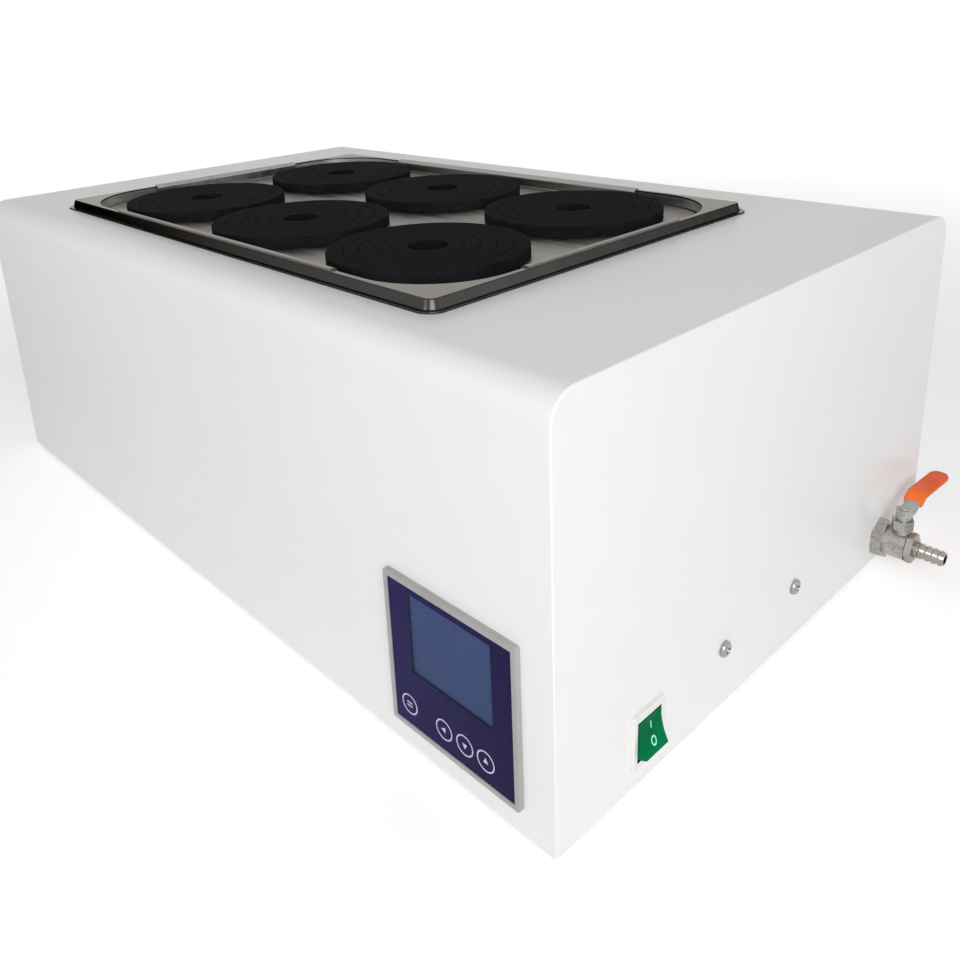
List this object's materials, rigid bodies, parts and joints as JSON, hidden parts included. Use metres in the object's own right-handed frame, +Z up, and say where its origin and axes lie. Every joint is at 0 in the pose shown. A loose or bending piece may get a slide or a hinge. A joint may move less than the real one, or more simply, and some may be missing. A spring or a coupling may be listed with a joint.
{
  "type": "water bath",
  "caption": "Benchtop water bath: painted sheet case, deep tank under a recessed cover plate with nested ring lids, panel controller, rocker switch and drain valve.",
  "frame": {"origin": "centre of the case's footprint, on the surface that its four feet stand on", "axes": "+Z up, -Y towards the front with the controller, +X towards the end with the valve"},
  "size_m": [0.73, 0.4235, 0.2532],
  "materials": {
    "case_paint": "satin white powder coat",
    "zinc_sheet": "zinc plated",
    "foot_rubber": "matte",
    "tank_steel": "fine brushed",
    "surround_steel": "polished",
    "plate_steel": "brushed",
    "lid_black": "moulded, satin black",
    "element_steel": "drawn tube",
    "bezel_plastic": "fine texture",
    "navy_sheet": "satin film",
    "display_glass": "display glass",
    "key_plastic": "film over a dome",
    "switch_plastic": "smooth",
    "rocker_plastic": "translucent green",
    "screw_chrome": "bright",
    "board_parts": "board and parts",
    "inlet_plastic": "moulded",
    "valve_cast": "nickel plated casting",
    "lever_steel": "zinc plated",
    "sleeve_vinyl": "dipped vinyl"
  },
  "bodies": {
    "case": {"case_wrap": "case_paint", "left_end_panel": "case_paint", "right_end_panel": "case_paint", "base_pan": "zinc_sheet", "foot_pads": "foot_rubber", "tank": "tank_steel", "tank_surround": "surround_steel", "heating_element": "element_steel", "temperature_probe": "element_steel", "controller_bezel": "bezel_plastic", "controller_front_sheet": "navy_sheet", "controller_display": "display_glass", "controller_housing": "bezel_plastic", "switch_body": "switch_plastic", "panel_screws": "screw_chrome", "power_unit": "board_parts", "mains_inlet": "inlet_plastic", "drain_pipe": "element_steel", "valve_body": "valve_cast", "hose_barb": "valve_cast"},
    "cover_plate": {"cover_plate": "plate_steel"},
    "perforated_shelf": {"perforated_shelf": "tank_steel"},
    "rocker": {"rocker": "rocker_plastic"},
    "valve_handle": {"valve_stem": "screw_chrome", "valve_lever": "lever_steel", "lever_sleeve": "sleeve_vinyl"},
    "set_key": {"set_key": "key_plastic"},
    "left_key": {"left_key": "key_plastic"},
    "down_key": {"down_key": "key_plastic"},
    "up_key": {"up_key": "key_plastic"},
    "lid_front_left_ring_1": {"lid_front_left_ring_1": "lid_black"},
    "lid_front_left_ring_2": {"lid_front_left_ring_2": "lid_black"},
    "lid_front_left_ring_3": {"lid_front_left_ring_3": "lid_black"},
    "lid_front_left_ring_4": {"lid_front_left_ring_4": "lid_black"},
    "lid_front_left_ring_5": {"lid_front_left_ring_5": "lid_black"},
    "lid_front_middle_ring_1": {"lid_front_middle_ring_1": "lid_black"},
    "lid_front_middle_ring_2": {"lid_front_middle_ring_2": "lid_black"},
    "lid_front_middle_ring_3": {"lid_front_middle_ring_3": "lid_black"},
    "lid_front_middle_ring_4": {"lid_front_middle_ring_4": "lid_black"},
    "lid_front_middle_ring_5": {"lid_front_middle_ring_5": "lid_black"},
    "lid_front_right_ring_1": {"lid_front_right_ring_1": "lid_black"},
    "lid_front_right_ring_2": {"lid_front_right_ring_2": "lid_black"},
    "lid_front_right_ring_3": {"lid_front_right_ring_3": "lid_black"},
    "lid_front_right_ring_4": {"lid_front_right_ring_4": "lid_black"},
    "lid_front_right_ring_5": {"lid_front_right_ring_5": "lid_black"},
    "lid_back_left_ring_1": {"lid_back_left_ring_1": "lid_black"},
    "lid_back_left_ring_2": {"lid_back_left_ring_2": "lid_black"},
    "lid_back_left_ring_3": {"lid_back_left_ring_3": "lid_black"},
    "lid_back_left_ring_4": {"lid_back_left_ring_4": "lid_black"},
    "lid_back_left_ring_5": {"lid_back_left_ring_5": "lid_black"},
    "lid_back_middle_ring_1": {"lid_back_middle_ring_1": "lid_black"},
    "lid_back_middle_ring_2": {"lid_back_middle_ring_2": "lid_black"},
    "lid_back_middle_ring_3": {"lid_back_middle_ring_3": "lid_black"},
    "lid_back_middle_ring_4": {"lid_back_middle_ring_4": "lid_black"},
    "lid_back_middle_ring_5": {"lid_back_middle_ring_5": "lid_black"},
    "lid_back_right_ring_1": {"lid_back_right_ring_1": "lid_black"},
    "lid_back_right_ring_2": {"lid_back_right_ring_2": "lid_black"},
    "lid_back_right_ring_3": {"lid_back_right_ring_3": "lid_black"},
    "lid_back_right_ring_4": {"lid_back_right_ring_4": "lid_black"},
    "lid_back_right_ring_5": {"lid_back_right_ring_5": "lid_black"}
  },
  "joints": [
    {"name": "cover_plate_lift", "type": "slide", "parent": "case", "child": "cover_plate", "axis": [0, 0, 1], "range_m": [0, 0.15]},
    {"name": "perforated_shelf_lift", "type": "slide", "parent": "case", "child": "perforated_shelf", "axis": [0, 0, 1], "range_m": [0, 0.13]},
    {"name": "rocker_tip", "type": "hinge", "parent": "case", "child": "rocker", "pos_m": [0.3389, -0.137, 0.032], "axis": [0, 1, 0], "range_deg": [0, 28]},
    {"name": "valve_turn", "type": "hinge", "parent": "case", "child": "valve_handle", "pos_m": [0.358, 0.145, 0.0195], "axis": [0, 0, 1], "range_deg": [-90, 0]},
    {"name": "set_key_press", "type": "slide", "parent": "case", "child": "set_key", "axis": [0, 1, 0], "range_m": [0, 0.0004], "stiffness_N_per_m": 800},
    {"name": "left_key_press", "type": "slide", "parent": "case", "child": "left_key", "axis": [0, 1, 0], "range_m": [0, 0.0004], "stiffness_N_per_m": 800},
    {"name": "down_key_press", "type": "slide", "parent": "case", "child": "down_key", "axis": [0, 1, 0], "range_m": [0, 0.0004], "stiffness_N_per_m": 800},
    {"name": "up_key_press", "type": "slide", "parent": "case", "child": "up_key", "axis": [0, 1, 0], "range_m": [0, 0.0004], "stiffness_N_per_m": 800},
    {"name": "lid_front_left_ring_1_lift", "type": "slide", "parent": "cover_plate", "child": "lid_front_left_ring_1", "axis": [0, 0, 1], "range_m": [0, 0.06]},
    {"name": "lid_front_left_ring_2_lift", "type": "slide", "parent": "lid_front_left_ring_1", "child": "lid_front_left_ring_2", "axis": [0, 0, 1], "range_m": [0, 0.06]},
    {"name": "lid_front_left_ring_3_lift", "type": "slide", "parent": "lid_front_left_ring_2", "child": "lid_front_left_ring_3", "axis": [0, 0, 1], "range_m": [0, 0.06]},
    {"name": "lid_front_left_ring_4_lift", "type": "slide", "parent": "lid_front_left_ring_3", "child": "lid_front_left_ring_4", "axis": [0, 0, 1], "range_m": [0, 0.06]},
    {"name": "lid_front_left_ring_5_lift", "type": "slide", "parent": "lid_front_left_ring_4", "child": "lid_front_left_ring_5", "axis": [0, 0, 1], "range_m": [0, 0.06]},
    {"name": "lid_front_middle_ring_1_lift", "type": "slide", "parent": "cover_plate", "child": "lid_front_middle_ring_1", "axis": [0, 0, 1], "range_m": [0, 0.06]},
    {"name": "lid_front_middle_ring_2_lift", "type": "slide", "parent": "lid_front_middle_ring_1", "child": "lid_front_middle_ring_2", "axis": [0, 0, 1], "range_m": [0, 0.06]},
    {"name": "lid_front_middle_ring_3_lift", "type": "slide", "parent": "lid_front_middle_ring_2", "child": "lid_front_middle_ring_3", "axis": [0, 0, 1], "range_m": [0, 0.06]},
    {"name": "lid_front_middle_ring_4_lift", "type": "slide", "parent": "lid_front_middle_ring_3", "child": "lid_front_middle_ring_4", "axis": [0, 0, 1], "range_m": [0, 0.06]},
    {"name": "lid_front_middle_ring_5_lift", "type": "slide", "parent": "lid_front_middle_ring_4", "child": "lid_front_middle_ring_5", "axis": [0, 0, 1], "range_m": [0, 0.06]},
    {"name": "lid_front_right_ring_1_lift", "type": "slide", "parent": "cover_plate", "child": "lid_front_right_ring_1", "axis": [0, 0, 1], "range_m": [0, 0.06]},
    {"name": "lid_front_right_ring_2_lift", "type": "slide", "parent": "lid_front_right_ring_1", "child": "lid_front_right_ring_2", "axis": [0, 0, 1], "range_m": [0, 0.06]},
    {"name": "lid_front_right_ring_3_lift", "type": "slide", "parent": "lid_front_right_ring_2", "child": "lid_front_right_ring_3", "axis": [0, 0, 1], "range_m": [0, 0.06]},
    {"name": "lid_front_right_ring_4_lift", "type": "slide", "parent": "lid_front_right_ring_3", "child": "lid_front_right_ring_4", "axis": [0, 0, 1], "range_m": [0, 0.06]},
    {"name": "lid_front_right_ring_5_lift", "type": "slide", "parent": "lid_front_right_ring_4", "child": "lid_front_right_ring_5", "axis": [0, 0, 1], "range_m": [0, 0.06]},
    {"name": "lid_back_left_ring_1_lift", "type": "slide", "parent": "cover_plate", "child": "lid_back_left_ring_1", "axis": [0, 0, 1], "range_m": [0, 0.06]},
    {"name": "lid_back_left_ring_2_lift", "type": "slide", "parent": "lid_back_left_ring_1", "child": "lid_back_left_ring_2", "axis": [0, 0, 1], "range_m": [0, 0.06]},
    {"name": "lid_back_left_ring_3_lift", "type": "slide", "parent": "lid_back_left_ring_2", "child": "lid_back_left_ring_3", "axis": [0, 0, 1], "range_m": [0, 0.06]},
    {"name": "lid_back_left_ring_4_lift", "type": "slide", "parent": "lid_back_left_ring_3", "child": "lid_back_left_ring_4", "axis": [0, 0, 1], "range_m": [0, 0.06]},
    {"name": "lid_back_left_ring_5_lift", "type": "slide", "parent": "lid_back_left_ring_4", "child": "lid_back_left_ring_5", "axis": [0, 0, 1], "range_m": [0, 0.06]},
    {"name": "lid_back_middle_ring_1_lift", "type": "slide", "parent": "cover_plate", "child": "lid_back_middle_ring_1", "axis": [0, 0, 1], "range_m": [0, 0.06]},
    {"name": "lid_back_middle_ring_2_lift", "type": "slide", "parent": "lid_back_middle_ring_1", "child": "lid_back_middle_ring_2", "axis": [0, 0, 1], "range_m": [0, 0.06]},
    {"name": "lid_back_middle_ring_3_lift", "type": "slide", "parent": "lid_back_middle_ring_2", "child": "lid_back_middle_ring_3", "axis": [0, 0, 1], "range_m": [0, 0.06]},
    {"name": "lid_back_middle_ring_4_lift", "type": "slide", "parent": "lid_back_middle_ring_3", "child": "lid_back_middle_ring_4", "axis": [0, 0, 1], "range_m": [0, 0.06]},
    {"name": "lid_back_middle_ring_5_lift", "type": "slide", "parent": "lid_back_middle_ring_4", "child": "lid_back_middle_ring_5", "axis": [0, 0, 1], "range_m": [0, 0.06]},
    {"name": "lid_back_right_ring_1_lift", "type": "slide", "parent": "cover_plate", "child": "lid_back_right_ring_1", "axis": [0, 0, 1], "range_m": [0, 0.06]},
    {"name": "lid_back_right_ring_2_lift", "type": "slide", "parent": "lid_back_right_ring_1", "child": "lid_back_right_ring_2", "axis": [0, 0, 1], "range_m": [0, 0.06]},
    {"name": "lid_back_right_ring_3_lift", "type": "slide", "parent": "lid_back_right_ring_2", "child": "lid_back_right_ring_3", "axis": [0, 0, 1], "range_m": [0, 0.06]},
    {"name": "lid_back_right_ring_4_lift", "type": "slide", "parent": "lid_back_right_ring_3", "child": "lid_back_right_ring_4", "axis": [0, 0, 1], "range_m": [0, 0.06]},
    {"name": "lid_back_right_ring_5_lift", "type": "slide", "parent": "lid_back_right_ring_4", "child": "lid_back_right_ring_5", "axis": [0, 0, 1], "range_m": [0, 0.06]}
  ]
}
